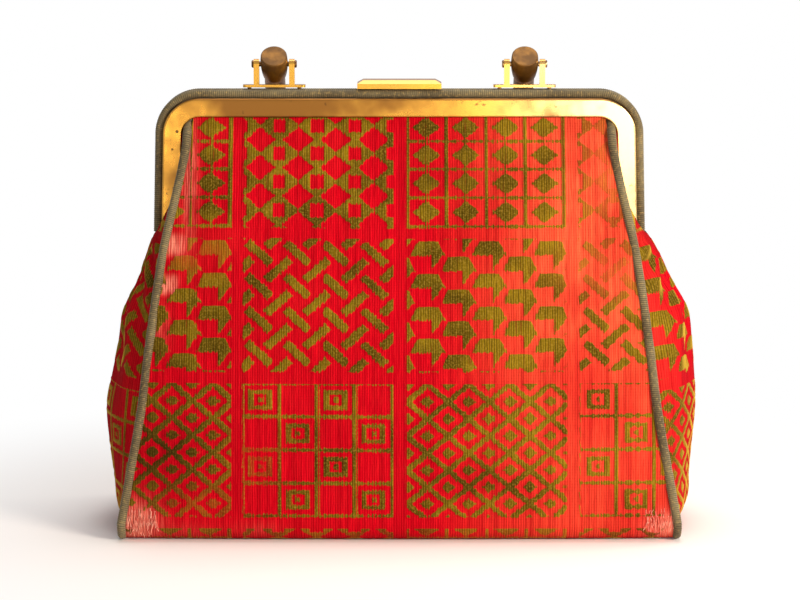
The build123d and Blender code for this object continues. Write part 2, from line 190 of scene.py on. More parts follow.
def lozenge(dx, dy, half_width, half_height):
    """Distance inside a lozenge, negative outside."""
    size = half_width * half_height / math.hypot(half_width, half_height)
    return (1 - np.abs(dx) / half_width - np.abs(dy) / half_height) * size


def oblong(dx, dy, half_width, half_height):
    return np.minimum(half_width - np.abs(dx), half_height - np.abs(dy))


def field_lattice(a, b):
    """Large open lozenges with small open squares between them."""
    wide, tall = 18.8, 14.6
    big = lozenge(wrap(a, 8.4, wide), wrap(b, 21.0, tall), 7.7, 6.7)
    small = oblong(wrap(a, 17.8, wide), wrap(b, 28.3, tall), 3.05, 3.45)
    return -np.maximum(big, small)


def field_grid_lozenges(a, b):
    """Filled lozenges in a grid of lines."""
    wide, tall = 19.55, 14.6
    stem, upright, level = 0.42, 0.85, 0.75
    dx = wrap(a, 9.8, wide)
    dy = wrap(b, tall, tall)
    shape = lozenge(dx, dy, 7.0, 5.8)
    shape = np.maximum(shape, stem - np.abs(dx))
    shape = np.maximum(shape, upright - np.abs(wrap(a, 0.0, wide)))
    return np.maximum(shape, level - np.abs(wrap(b, 21.9, tall)))


def field_basket(a, b):
    """Slanting bars, laid like basket work."""
    wide, tall = 18.86, 16.6
    turn = math.radians(42)
    shape = np.full_like(a, BARE)
    for shift, sign in ((0.0, 1), (0.5, -1)):
        dx = wrap(a, 8.5 + shift * wide, wide)
        dy = wrap(b, 7.6 + shift * tall, tall)
        run = dx * math.cos(turn) + sign * dy * math.sin(turn)
        off = dy * math.cos(turn) - sign * dx * math.sin(turn)
        shape = np.maximum(shape, oblong(run, off, 7.7, 2.15))
    return shape


def field_scales(a, b):
    """Half hexagons in staggered columns, each with a small pennant."""
    wide, tall, stagger = 15.15, 16.1, 7.8
    first_column, first_row = 10.4, 1.6
    cap, half_width = 7.0, 5.2
    column = np.floor((a - first_column) / wide + 0.5)
    dx = a - first_column - column * wide
    shape = np.full_like(a, BARE)
    for neighbour in (-1, 0, 1):
        nx = dx - neighbour * wide
        down = (b - first_row - stagger * ((column + neighbour) % 2)) % tall
        body = np.minimum(cap - down, (half_width + 0.5 * down - np.abs(nx)) * 0.89)
        drop = down - cap
        pennant = np.minimum(np.minimum(nx - 1.6, (7.2 - 0.75 * drop - nx) * 0.8), drop + 1.0)
        shape = np.maximum(shape, np.maximum(body, np.minimum(pennant, 7.2 - drop)))
    return shape


def field_chequer(a, b):
    """Grid of lines with a square ring and a dot in every other cell."""
    wide, tall, start = 18.55, 16.4, 0.2
    dx = wrap(a, 9.3, wide)
    dy = wrap(b, 8.4, tall)
    odd = (np.floor(a / wide) + np.floor((b - start) / tall)) % 2
    ring = np.minimum(oblong(dx, dy, 5.85, 4.85), -oblong(dx, dy, 3.2, 2.7))
    ring = np.maximum(ring, oblong(dx, dy, 1.25, 1.25))
    lines = np.maximum(1.0 - np.abs(wrap(a, 0.0, wide)), 0.9 - np.abs(wrap(b, start, tall)))
    return np.maximum(lines, np.where(odd < 0.5, ring, BARE))


def field_trellis(a, b):
    """Trellis of broad bands with a small lozenge in each opening."""
    wide, tall = 20.1, 16.8
    dot, band, size = 0.36, 0.79, 6.45
    near = np.full_like(a, -BARE)
    for shift in (0.0, 0.5):
        dx = np.abs(wrap(a, 10.2 + shift * wide, wide)) / (wide / 2)
        dy = np.abs(wrap(b, 9.2 + shift * tall, tall)) / (tall / 2)
        near = np.minimum(near, dx + dy)
    return np.maximum(dot - near, near - band) * size


def velvet_pattern(u, v):
    """Distance into the pile at a place on the cloth, across and down in millimetres."""
    across = (u - FIELD_START) % FIELD_PERIOD
    down = (v - ROW_START) % (3 * ROW_PITCH)
    row = np.floor(down / ROW_PITCH)
    b = down - row * ROW_PITCH
    wide = across > (NARROW_FIELD + WIDE_START) / 2
    a = np.where(wide, across - WIDE_START, across)
    width = np.where(wide, WIDE_FIELD, NARROW_FIELD)
    fields = (
        (field_lattice, field_grid_lozenges),
        (field_basket, field_scales),
        (field_chequer, field_trellis),
    )
    shape = np.full_like(u, BARE)
    for k, (narrow_field, wide_field) in enumerate(fields):
        shape = np.where((row == k) & ~wide, narrow_field(a, b), shape)
        shape = np.where((row == k) & wide, wide_field(a, b), shape)
    inside = np.minimum(np.minimum(a, width - a), np.minimum(b, ROW_HEIGHT - b)) + FIELD_MARGIN
    return np.minimum(shape, inside)


# Mesh helpers

def linked(name, data):
    obj = bpy.data.objects.new(name, data)
    bpy.context.scene.collection.objects.link(obj)
    return obj


def smooth_mesh(name, points, faces, material):
    """Smooth mesh from points in millimetres."""
    mesh = bpy.data.meshes.new(name)
    mesh.from_pydata((points * MM).tolist(), [], faces)
    mesh.polygons.foreach_set("use_smooth", np.ones(len(faces), bool))
    mesh.materials.append(material)
    return mesh


def grid_piece(name, points, material, cloth=None, **values):
    """Smooth sheet from rows and columns of points in millimetres, seen from outside."""
    rows, cols = points.shape[:2]
    index = np.arange(rows * cols).reshape(rows, cols)
    corners = [index[:-1, :-1], index[1:, :-1], index[1:, 1:], index[:-1, 1:]]
    faces = np.stack(corners, axis=-1).reshape(-1, 4)
    mesh = smooth_mesh(name, points.reshape(-1, 3), faces.tolist(), material)
    if cloth is not None:
        layer = mesh.uv_layers.new(name="cloth")
        layer.data.foreach_set("uv", (cloth.reshape(-1, 2)[faces.ravel()] * MM).ravel())
    for key, value in values.items():
        attribute = mesh.attributes.new(key, "FLOAT", "POINT")
        attribute.data.foreach_set("value", np.ascontiguousarray(value, np.float32).ravel())
    mesh.update()
    return linked(name, mesh)


def outward(points):
    """Unit normals of a grid of points."""
    normal = np.cross(np.gradient(points, axis=0), np.gradient(points, axis=1))
    return normal / np.maximum(np.linalg.norm(normal, axis=-1, keepdims=True), 1e-9)


def half_turn(points):
    """The same points turned half round the upright axis."""
    return points * np.array([-1.0, -1.0, 1.0])


def corded(name, path, radius, pitch, material):
    """Ribbed gimp cord along a line of points: each ridge winds round the core."""
    line = evenly(path, pitch / 4)
    far = along(line)
    tangent = np.gradient(line, axis=0)
    tangent /= np.linalg.norm(tangent, axis=1, keepdims=True)
    side = np.zeros_like(line)
    guide = np.array([0.0, 1.0, 0.0]) if abs(tangent[0, 1]) < 0.9 else np.array([1.0, 0.0, 0.0])
    for i, t in enumerate(tangent):
        guide = guide - t * guide.dot(t)
        guide /= np.linalg.norm(guide)
        side[i] = guide
    up = np.cross(tangent, side)
    angle = np.linspace(0, 2 * math.pi, 13)
    ridge = 0.5 + 0.5 * np.cos(2 * math.pi * far[:, None] / pitch + angle[None, :])
    reach = radius * (0.9 + 0.1 * np.sqrt(ridge))
    ring = np.cos(angle)[None, :, None] * side[:, None, :] + np.sin(angle)[None, :, None] * up[:, None, :]
    points = line[:, None, :] + reach[:, :, None] * ring
    cloth = np.stack(np.broadcast_arrays(angle[None, :] * radius, far[:, None]), axis=-1)
    return grid_piece(name, points[:, ::-1], material, cloth=cloth[:, ::-1], ridge=ridge[:, ::-1])


# Materials. Patterns are scaled by real sizes in millimetres, on cloth by its own map in metres.

SMOOTH = {"interpolation_type": "SMOOTHSTEP"}
BLEND = {"data_type": "RGBA"}

# Weave of the velvet: pile tufts, faded patches, streaks and threads by width and length, steps of the
# pile's edge, and the rib of the lining. Tufts and rib are drawn coarser than real ones, which would be
# too fine to show.
TUFT = 1.05
FADE_PATCH = 38.0
STREAK = (2.2, 110.0)
THREAD = (0.6, 14.0)
STEP = 0.62 * RIB
TWILL_RIB = 0.9

# Tarnish of the brass: clouds, spots and scratches in millimetres. In metres, where along the frame it
# begins and is full: the top rail by height, the left part and its corner, and also the painted highlight
# that turns the right end pale.
CLOUD = 62.0
SPOT = 4.2
SCRATCH = (25.0, 1.1)
TOP_RAIL = (0.198, 0.212)
LEFT_PART = (0.02, -0.05)
LEFT_CORNER = (-0.104, -0.08)
HIGHLIGHT_END = (0.03, 0.1)

# Dark pits on the left leg of the front frame half: place in metres and size in millimetres
PITS = (((-0.1107, -0.0092, 0.1985), 0.9), ((-0.1132, -0.0092, 0.1895), 0.8))


def per_metre(size):
    """Scale of a pattern with features of this many millimetres."""
    return 1 / (size * MM)


def linear(code):
    """Linear colour from a six digit sRGB code."""
    parts = [int(code[i:i + 2], 16) / 255 for i in (0, 2, 4)]
    return tuple(c / 12.92 if c <= 0.04045 else ((c + 0.055) / 1.055) ** 2.4 for c in parts) + (1.0,)


def add(tree, kind, inputs=None, output=0, **settings):
    """Adds a shader node with its settings, fills or links its inputs, and gives one of its outputs."""
    made = tree.nodes.new("ShaderNode" + kind)
    for key, value in settings.items():
        setattr(made, key, value)
    for key, value in (inputs or {}).items():
        if isinstance(value, bpy.types.NodeSocket):
            tree.links.new(value, made.inputs[key])
        else:
            made.inputs[key].default_value = value
    return made.outputs[output] if made.outputs else made


def new_material(name):
    material = bpy.data.materials.new(name)
    material.use_nodes = True
    material.node_tree.nodes.clear()
    return material, material.node_tree


def wave_along(tree, place, pitch):
    """Even wave with this pitch in millimetres along a coordinate in metres."""
    turns = add(tree, "Math", {0: place, 1: 2 * math.pi * per_metre(pitch)}, operation="MULTIPLY")
    return add(tree, "Math", {0: turns}, operation="SINE")


def mottled(tree, place, size, dark, light):
    """Colour that drifts between two tones in patches of this many millimetres."""
    tone = add(tree, "TexNoise", {"Vector": place, "Scale": per_metre(size), "Detail": 3.0})
    share = add(tree, "MapRange", {0: tone, 1: 0.3, 2: 0.7}, **SMOOTH)
    return add(tree, "Mix", {0: share, 6: linear(dark), 7: linear(light)}, 2, **BLEND)


def cut_velvet():
    """Cut velvet, old: a dull deep red ground with fine upright ribs, and olive pile that stands above it
    with ragged stepped edges. Lighter and more orange towards the right, partly by fading and partly as
    painted light from the right; rubbed to pale threads at the seams."""
    material, tree = new_material("cut_velvet")
    cloth = add(tree, "UVMap", uv_map="cloth")
    across = add(tree, "SeparateXYZ", {0: cloth})
    down = across.node.outputs[1]
    grain = add(tree, "TexNoise", {"Vector": cloth, "Scale": per_metre(TUFT), "Detail": 2.0})
    patches = add(tree, "TexNoise", {"Vector": cloth, "Scale": per_metre(FADE_PATCH), "Detail": 3.0})
    slim = add(tree, "Mapping", {0: cloth, 3: (per_metre(STREAK[0]), per_metre(STREAK[1]), 1.0)})
    streaks = add(tree, "TexNoise", {"Vector": slim, "Scale": 1.0, "Detail": 3.0})
    slim = add(tree, "Mapping", {0: cloth, 3: (per_metre(THREAD[0]), per_metre(THREAD[1]), 1.0)})
    thread = add(tree, "TexNoise", {"Vector": slim, "Scale": 1.0, "Detail": 2.0})
    rubbed = add(tree, "Attribute", output="Fac", attribute_name="rubbed")
    thin = add(tree, "Attribute", output="Fac", attribute_name="thin")
    motif = add(tree, "Attribute", output="Fac", attribute_name="motif")

    # Ribs down the cloth, uneven as spun thread is, and a faint weft across
    rib = wave_along(tree, across, RIB)
    rib = add(tree, "Math", {0: rib, 1: 0.16, 2: thread}, operation="MULTIPLY_ADD")
    rib = add(tree, "MapRange", {0: rib, 1: 0.34, 2: 0.68}, **SMOOTH)
    weft = wave_along(tree, down, WEFT)
    weft = add(tree, "MapRange", {0: weft, 1: 0.2, 2: 1.0, 4: 0.2}, **SMOOTH)
    worn_weft = add(tree, "MapRange", {0: grain, 1: 0.35, 2: 0.65}, **SMOOTH)
    weft = add(tree, "Math", {0: weft, 1: worn_weft}, operation="MULTIPLY")

    # Pile: the motif with an edge that steps from rib to rib, thinner where it is worn
    column = add(tree, "Math", {0: across, 1: STEP * MM}, operation="DIVIDE")
    column = add(tree, "Math", {0: column}, operation="FLOOR")
    jag = add(tree, "TexWhiteNoise", {"W": column}, noise_dimensions="1D")
    depth = add(tree, "Math", {0: jag, 1: 0.95, 2: motif}, operation="MULTIPLY_ADD")
    depth = add(tree, "Math", {0: grain, 1: 0.7, 2: depth}, operation="MULTIPLY_ADD")
    depth = add(tree, "Math", {0: rubbed, 1: -1.5, 2: depth}, operation="MULTIPLY_ADD")
    pile = add(tree, "MapRange", {0: depth, 1: 0.63, 2: 1.08}, **SMOOTH)
    remains = add(tree, "MapRange", {0: thread, 1: 0.62, 2: 0.36, 3: -0.55, 4: -1.0}, **SMOOTH)
    remains = add(tree, "Math", {0: thin, 1: remains, 2: 1.0}, operation="MULTIPLY_ADD")
    pile = add(tree, "Math", {0: pile, 1: remains}, operation="MULTIPLY")
    remains = add(tree, "MapRange", {0: thread, 1: 0.24, 2: 0.36, 3: 0.45}, **SMOOTH)
    pile = add(tree, "Math", {0: pile, 1: remains}, operation="MULTIPLY")

    # Ground: streaked red, lighter and more orange to the right by fading and by painted light, rubbed to
    # pale threads, with painted shade between the ribs and a painted highlight on their tops, and darker in
    # faint lines across at the weft's pitch
    share = add(tree, "MapRange", {0: streaks, 1: 0.3, 2: 0.7}, **SMOOTH)
    red = add(tree, "Mix", {0: share, 6: linear("a60010"), 7: linear("cb0419")}, 2, **BLEND)
    # Lighter, more orange ground towards the right: partly fading, partly painted light from the right
    share = add(tree, "MapRange", {0: patches, 1: 0.3, 2: 0.62, 3: 0.45}, **SMOOTH)
    faded = add(tree, "Attribute", output="Fac", attribute_name="faded")
    faded = add(tree, "Math", {0: faded, 1: share}, operation="MULTIPLY")
    share = add(tree, "MapRange", {0: streaks, 1: 0.35, 2: 0.6, 3: 0.62, 4: 1.15}, **SMOOTH)
    faded = add(tree, "Math", {0: faded, 1: share}, operation="MULTIPLY")
    red = add(tree, "Mix", {0: faded, 6: red, 7: linear("f76840")}, 2, **BLEND)
    share = add(tree, "MapRange", {0: patches, 1: 0.5, 2: 0.75, 4: 0.25}, **SMOOTH)
    red = add(tree, "Mix", {0: share, 6: red, 7: linear("dc1e22")}, 2, **BLEND)
    share = add(tree, "MapRange", {0: thread, 1: 0.4, 2: 0.6, 3: 0.35}, **SMOOTH)
    share = add(tree, "Math", {0: rubbed, 1: share}, operation="MULTIPLY")
    red = add(tree, "Mix", {0: share, 6: red, 7: linear("ea8f78")}, 2, **BLEND)
    # Painted shade between the ribs and a painted highlight on their tops
    for low, high, start, end, tone in ((0.0, 0.6, 0.42, 0.0, "8c000c"), (0.6, 1.0, 0.0, 0.12, "e62c2c")):
        share = add(tree, "MapRange", {0: rib, 1: low, 2: high, 3: start, 4: end}, **SMOOTH)
        red = add(tree, "Mix", {0: share, 6: red, 7: linear(tone)}, 2, **BLEND)
    red = add(tree, "Mix", {0: weft, 6: red, 7: linear("8a000b")}, 2, **BLEND)

    # Pile: patchy olive, lighter on the tufts, darker in listed places, partly as painted shade, and with a
    # painted golden sheen where it turns away
    share = add(tree, "MapRange", {0: patches, 1: 0.36, 2: 0.62}, **SMOOTH)
    olive = add(tree, "Mix", {0: share, 6: linear("4a3a05"), 7: linear("82690e")}, 2, **BLEND)
    share = add(tree, "MapRange", {0: grain, 1: 0.4, 2: 0.75, 4: 0.5}, **SMOOTH)
    olive = add(tree, "Mix", {0: share, 6: olive, 7: linear("a78632")}, 2, **BLEND)
    # Pile paler towards the right as well: partly fading, partly painted light from the right
    share = add(tree, "Math", {0: faded, 1: 0.3}, operation="MULTIPLY")
    olive = add(tree, "Mix", {0: share, 6: olive, 7: linear("a07a1c")}, 2, **BLEND)
    # Painted shade on the pile between the ribs
    share = add(tree, "MapRange", {0: rib, 1: 0.0, 2: 0.6, 3: 0.6, 4: 0.0}, **SMOOTH)
    olive = add(tree, "Mix", {0: share, 6: olive, 7: linear("2e2404")}, 2, **BLEND)
    # Darker listed places: painted shade on the left side, away from the light, and darker patches of pile
    # elsewhere
    dark = add(tree, "Attribute", output="Fac", attribute_name="dark")
    share = add(tree, "Math", {0: dark, 1: 0.85}, operation="MULTIPLY")
    olive = add(tree, "Mix", {0: share, 6: olive, 7: linear("2c1c06")}, 2, **BLEND)
    share = add(tree, "Math", {0: dark, 1: 0.45}, operation="MULTIPLY")
    red = add(tree, "Mix", {0: share, 6: red, 7: linear("7c000e")}, 2, **BLEND)
    # Painted sheen: the pile turns golden and the ground darker crimson where the surface turns away from
    # the eye
    turned = add(tree, "LayerWeight", {"Blend": 0.4}, "Facing")
    share = add(tree, "MapRange", {0: turned, 1: 0.45, 2: 0.9, 4: 0.75}, **SMOOTH)
    olive = add(tree, "Mix", {0: share, 6: olive, 7: linear("d6b13c")}, 2, **BLEND)
    share = add(tree, "MapRange", {0: turned, 1: 0.35, 2: 0.85, 4: 0.6}, **SMOOTH)
    red = add(tree, "Mix", {0: share, 6: red, 7: linear("86000f")}, 2, **BLEND)
    colour = add(tree, "Mix", {0: pile, 6: red, 7: olive}, 2, **BLEND)

    height = add(tree, "Math", {0: grain, 1: 0.7, 2: rib}, operation="MULTIPLY_ADD")
    height = add(tree, "Math", {0: pile, 1: 1.2, 2: height}, operation="MULTIPLY_ADD")
    normal = add(tree, "Bump", {"Height": height, "Strength": 0.6, "Distance": 0.3 * MM})
    shader = add(tree, "BsdfPrincipled", {
        "Base Color": colour, "Roughness": 0.9, "Specular IOR Level": 0.04, "Normal": normal,
        "Sheen Weight": 0.05, "Sheen Roughness": 0.4, "Sheen Tint": linear("ff6a48"),
    })
    add(tree, "OutputMaterial", {"Surface": shader})
    return material


def gimp_cord():
    """Gimp: silk wound over a core. Taupe olive, with painted shade between the turns and gold flecks on
    the ridges.
    """
    material, tree = new_material("gimp_cord")
    cloth = add(tree, "UVMap", uv_map="cloth")
    place = add(tree, "TexCoord", output="Object")
    ridge = add(tree, "Attribute", output="Fac", attribute_name="ridge")
    colour = mottled(tree, place, 22.0, "574a31", "7b6e4e")
    fleck = add(tree, "TexNoise", {"Vector": cloth, "Scale": per_metre(1.7), "Detail": 2.0})
    share = add(tree, "MapRange", {0: fleck, 1: 0.5, 2: 0.72, 4: 0.5}, **SMOOTH)
    colour = add(tree, "Mix", {0: share, 6: colour, 7: linear("b3965a")}, 2, **BLEND)
    # Painted shade in the grooves between the turns
    share = add(tree, "MapRange", {0: ridge, 1: 0.0, 2: 0.45, 3: 0.85, 4: 0.0}, **SMOOTH)
    colour = add(tree, "Mix", {0: share, 6: colour, 7: linear("21180c")}, 2, **BLEND)
    strands = add(tree, "TexNoise", {"Vector": cloth, "Scale": per_metre(0.4), "Detail": 2.0})
    normal = add(tree, "Bump", {"Height": strands, "Strength": 0.4, "Distance": 0.2 * MM})
    shader = add(tree, "BsdfPrincipled", {
        "Base Color": colour, "Roughness": 0.7, "Specular IOR Level": 0.25, "Normal": normal,
        "Sheen Weight": 0.12,
    })
    add(tree, "OutputMaterial", {"Surface": shader})
    return material


def old_brass(name, gold, brown, wear, rough):
    """Lacquered sheet brass, once given a polish: gold and fairly smooth where hands rub it, with a painted
    highlight that turns it paler to the right. Brown and dull where it has tarnished, most of all on upward
    faces and along the top to the left, with fine scratches and small dark pits."""
    material, tree = new_material(name)
    place = add(tree, "TexCoord", output="Object")
    cloud = add(tree, "TexNoise", {
        "Vector": place, "Scale": per_metre(CLOUD), "Detail": 4.0, "Roughness": 0.6,
    })
    spots = add(tree, "TexNoise", {"Vector": place, "Scale": per_metre(SPOT), "Detail": 2.0})
    length, width = per_metre(SCRATCH[0]), per_metre(SCRATCH[1])
    slim = add(tree, "Mapping", {0: place, 3: (length, width, width)})
    scratch = add(tree, "TexNoise", {"Vector": slim, "Scale": 1.0, "Detail": 2.0})
    along_x = add(tree, "SeparateXYZ", {0: place})
    up = along_x.node.outputs[2]
    top = add(tree, "MapRange", {0: up, 1: TOP_RAIL[0], 2: TOP_RAIL[1], 4: 0.22}, **SMOOTH)
    leftward = add(tree, "MapRange", {0: along_x, 1: LEFT_PART[0], 2: LEFT_PART[1]}, **SMOOTH)
    corner = add(tree, "MapRange", {0: along_x, 1: LEFT_CORNER[0], 2: LEFT_CORNER[1]}, **SMOOTH)
    leftward = add(tree, "Math", {0: leftward, 1: corner}, operation="MULTIPLY")
    cloud = add(tree, "Math", {0: top, 1: leftward, 2: cloud}, operation="MULTIPLY_ADD")
    tarnish = add(tree, "Math", {0: spots, 1: 0.06, 2: cloud}, operation="MULTIPLY_ADD")
    tarnish = add(tree, "MapRange", {0: tarnish, 1: 0.46, 2: 0.74, 4: wear}, **SMOOTH)
    facing = add(tree, "SeparateXYZ", {0: add(tree, "TexCoord", output="Normal")}, 2)
    dusty = add(tree, "MapRange", {0: facing, 1: 0.25, 2: 0.6}, **SMOOTH)
    tarnish = add(tree, "Math", {0: tarnish, 1: dusty}, operation="MAXIMUM")
    # Painted highlight: the gold turns pale towards the right end
    pale = add(tree, "MapRange", {0: along_x, 1: HIGHLIGHT_END[0], 2: HIGHLIGHT_END[1], 4: 0.62}, **SMOOTH)
    gold_with_highlight = add(tree, "Mix", {0: pale, 6: linear(gold), 7: linear("f2dba4")}, 2, **BLEND)
    colour = add(tree, "Mix", {0: tarnish, 6: gold_with_highlight, 7: linear(brown)}, 2, **BLEND)
    pits = add(tree, "MapRange", {0: spots, 1: 0.68, 2: 0.75, 4: 0.6 * wear}, **SMOOTH)
    for spot, size in PITS:
        away = add(tree, "VectorMath", {0: place, 1: spot}, "Value", operation="DISTANCE")
        away = add(tree, "Math", {0: spots, 1: 2 * MM, 2: away}, operation="MULTIPLY_ADD")
        inner, outer = (1 + 0.6 * size) * MM, (1 + size) * MM
        pit = add(tree, "MapRange", {0: away, 1: inner, 2: outer, 3: 0.85, 4: 0.0}, **SMOOTH)
        pits = add(tree, "Math", {0: pits, 1: pit}, operation="MAXIMUM")
    colour = add(tree, "Mix", {0: pits, 6: colour, 7: linear("3a2410")}, 2, **BLEND)
    dull = add(tree, "MapRange", {0: tarnish, 3: rough, 4: rough + 0.12}, **SMOOTH)
    height = add(tree, "Math", {0: scratch, 1: 1.2, 2: spots}, operation="MULTIPLY_ADD")
    normal = add(tree, "Bump", {"Height": height, "Strength": 0.02, "Distance": 0.1 * MM})
    shader = add(tree, "BsdfPrincipled", {
        "Base Color": colour, "Metallic": 1.0, "Roughness": dull, "Normal": normal,
        "Coat Weight": 0.2, "Coat Roughness": 0.25,
    })
    add(tree, "OutputMaterial", {"Surface": shader})
    return material


def bronzed_ferrule():
    """Bronzed brass tube, brown and rather dull, lighter in patches where it is handled."""
    material, tree = new_material("bronzed_ferrule")
    place = add(tree, "TexCoord", output="Object")
    cloud = add(tree, "TexNoise", {"Vector": place, "Scale": per_metre(8.0), "Detail": 3.0})
    share = add(tree, "MapRange", {0: cloud, 1: 0.38, 2: 0.66}, **SMOOTH)
    colour = add(tree, "Mix", {0: share, 6: linear("5c3b0e"), 7: linear("825617")}, 2, **BLEND)
    dull = add(tree, "MapRange", {0: cloud, 1: 0.3, 2: 0.7, 3: 0.55, 4: 0.42}, **SMOOTH)
    grit = add(tree, "TexNoise", {"Vector": place, "Scale": per_metre(2.0), "Detail": 2.0})
    normal = add(tree, "Bump", {"Height": grit, "Strength": 0.15, "Distance": 0.2 * MM})
    shader = add(tree, "BsdfPrincipled", {
        "Base Color": colour, "Metallic": 0.6, "Roughness": dull, "Normal": normal,
    })
    add(tree, "OutputMaterial", {"Surface": shader})
    return material


def handle_leather():
    """Calf leather sewn round the handle: warm brown, half dull, with a pebbled grain, drawn coarser than
    real calf, whose grain would be too fine to show."""
    material, tree = new_material("handle_leather")
    place = add(tree, "TexCoord", output="Object")
    colour = mottled(tree, place, 17.0, "6e4d33", "93704f")
    pebbles = add(tree, "TexVoronoi", {"Vector": place, "Scale": per_metre(1.1)}, "Distance")
    normal = add(tree, "Bump", {"Height": pebbles, "Strength": 0.3, "Distance": 0.3 * MM})
    shader = add(tree, "BsdfPrincipled", {
        "Base Color": colour, "Roughness": 0.48, "Specular IOR Level": 0.4, "Normal": normal,
    })
    add(tree, "OutputMaterial", {"Surface": shader})
    return material


def lining_twill():
    """Cotton twill: tan, matt, with a slanting rib."""
    material, tree = new_material("lining_twill")
    cloth = add(tree, "UVMap", uv_map="cloth")
    across = add(tree, "SeparateXYZ", {0: cloth})
    slant = add(tree, "Math", {0: across, 1: across.node.outputs[1]}, operation="ADD")
    slant = wave_along(tree, slant, TWILL_RIB)
    rib = add(tree, "MapRange", {0: slant, 1: -1.0, 2: 1.0}, **SMOOTH)
    colour = mottled(tree, cloth, 20.0, "8f7550", "a58a63")
    share = add(tree, "Math", {0: rib, 1: 0.25}, operation="MULTIPLY")
    colour = add(tree, "Mix", {0: share, 6: colour, 7: linear("6d5638")}, 2, **BLEND)
    normal = add(tree, "Bump", {"Height": rib, "Strength": 0.4, "Distance": 0.2 * MM})
    shader = add(tree, "BsdfPrincipled", {
        "Base Color": colour, "Roughness": 0.75, "Normal": normal, "Sheen Weight": 0.1,
    })
    add(tree, "OutputMaterial", {"Surface": shader})
    return material


def pressed_board():
    """Pressed paper board: matt brown with short fibres."""
    material, tree = new_material("pressed_board")
    place = add(tree, "TexCoord", output="Object")
    fibres = add(tree, "TexNoise", {"Vector": place, "Scale": per_metre(3.3), "Detail": 4.0})
    colour = add(tree, "Mix", {0: fibres, 6: linear("7a6247"), 7: linear("a58c68")}, 2, **BLEND)
    normal = add(tree, "Bump", {"Height": fibres, "Strength": 0.3, "Distance": 0.3 * MM})
    shader = add(tree, "BsdfPrincipled", {"Base Color": colour, "Roughness": 0.9, "Normal": normal})
    add(tree, "OutputMaterial", {"Surface": shader})
    return material


def loose_thread():
    """Ends of the velvet's ground threads: pale salmon, dull."""
    material, tree = new_material("loose_thread")
    place = add(tree, "TexCoord", output="Object")
    tone = add(tree, "TexNoise", {"Vector": place, "Scale": per_metre(2.5), "Detail": 2.0})
    share = add(tree, "MapRange", {0: tone, 1: 0.35, 2: 0.65}, **SMOOTH)
    colour = add(tree, "Mix", {0: share, 6: linear("d8614e"), 7: linear("f0a48e")}, 2, **BLEND)
    twist = add(tree, "TexNoise", {"Vector": place, "Scale": per_metre(0.3), "Detail": 1.0})
    normal = add(tree, "Bump", {"Height": twist, "Strength": 0.3, "Distance": 0.1 * MM})
    shader = add(tree, "BsdfPrincipled", {"Base Color": colour, "Roughness": 0.8, "Normal": normal})
    add(tree, "OutputMaterial", {"Surface": shader})
    return material


velvet = cut_velvet()
cord = gimp_cord()
frame_brass = old_brass("frame_brass", "e0a440", "84561f", 1.0, 0.22)
bright_brass = old_brass("bright_brass", "eeb540", "a8773a", 0.5, 0.22)
dark_brass = old_brass("dark_brass", "a3723a", "5e3f20", 1.0, 0.3)
twill = lining_twill()
thread_ends = loose_thread()

SLOT_MATERIAL = {
    "brass": frame_brass, "ferrule": bronzed_ferrule(), "grip": handle_leather(), "board": pressed_board(),
    "velvet": velvet, "cord": cord, "lining": twill,
}
NODE_MATERIAL = {
    "clasp_plate": bright_brass, "clasp_hinge_leaf": bright_brass, "bracket_left": bright_brass,
    "bracket_right": bright_brass, "handle_pin_left": dark_brass, "handle_pin_right": dark_brass,
    "bracket_rivets": dark_brass, "clasp_leaf_rivets": dark_brass,
}
for row in frame["record"]["subparts"]:
    mesh = nodes[row["node"]].data
    mesh.materials.clear()
    mesh.materials.append(NODE_MATERIAL.get(row["node"], SLOT_MATERIAL[row["material_slot"]]))


def follow(obj):
    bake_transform(obj)


# Velvet panels, a little off the floor, with a hem that laps over the base

OFF_FLOOR = 0.15
HEM_LAP = 0.4
SEAM_TUCK = 0.9


def panel_profile():
    """Upright line of a panel from its top edge to its hem: height, depth at the middle, depth at the
    station, swell and seam half width."""
    wall = np.linspace(PANEL_TOP, TURN, 800)
    turn = np.linspace(0, math.pi / 2, 60)[1:]
    hem = np.linspace(0, 1, 12)[1:]
    height = np.concatenate([wall, TURN - TURN * np.sin(turn), 0 * hem]) + OFF_FLOOR
    foot = DEPTHS[0] - TURN
    hem_depth = foot + hem * (BASE_HALF_DEPTH + HEM_LAP - foot)
    depth = np.concatenate([depth_at(wall), foot + TURN * np.cos(turn), hem_depth])
    swell = np.concatenate([swell_at(wall), SWELLS[0] + 0 * turn, SWELLS[0] * (1 - hem)])
    seam = np.concatenate([seam_at(wall), SEAMS[0] + 0 * turn, SEAMS[0] + 0 * hem])
    return evenly(np.stack([height, depth + swell, depth, swell, seam], axis=1), CELL)


def panel_points():
    """Front panel as rows down and columns to the right, with its place on the cloth."""
    rows = panel_profile()
    height, depth, swell, seam = rows[:, 0], rows[:, 2], rows[:, 3], rows[:, 4]
    share = np.linspace(-1, 1, int(2 * SEAM_BASE / CELL))
    x = share[None, :] * (seam[:, None] - SEAM_TUCK)
    out = depth[:, None] + swell[:, None] * (1 - (x / STATION) ** 2)
    z = np.broadcast_to(height[:, None], x.shape).copy()
    points = np.stack([x, -out, z], axis=-1)
    down = along(np.stack([height, -(depth + swell)], axis=1))
    down = down - np.interp(-FACE_BOTTOM, -height, down)
    cloth = np.stack([x, np.broadcast_to(down[:, None], x.shape)], axis=-1)
    return points, cloth


def slack(x, z):
    """Gentle unevenness of the cloth in millimetres, strongest near the seams and the foot."""
    edge = np.exp(-(seam_at(z) - np.abs(x)) / 22)
    pucker = 0.55 * np.sin(z / 5.5 + 1.3 * np.sin(z / 19)) * edge * ease(z, 10, 40)
    broad = 0.8 * np.sin(x / 38 + 0.7) * np.sin(z / 31 + 0.4) + 0.5 * np.sin(x / 17 + z / 26)
    return pucker + broad * ease(z, 6, 60) * ease(-z, -200, -150)


def pile_step(motif):
    """Height of the pile above the ground, rising over the edge of the motif."""
    return PILE * ease(motif, -0.35, 0.45)
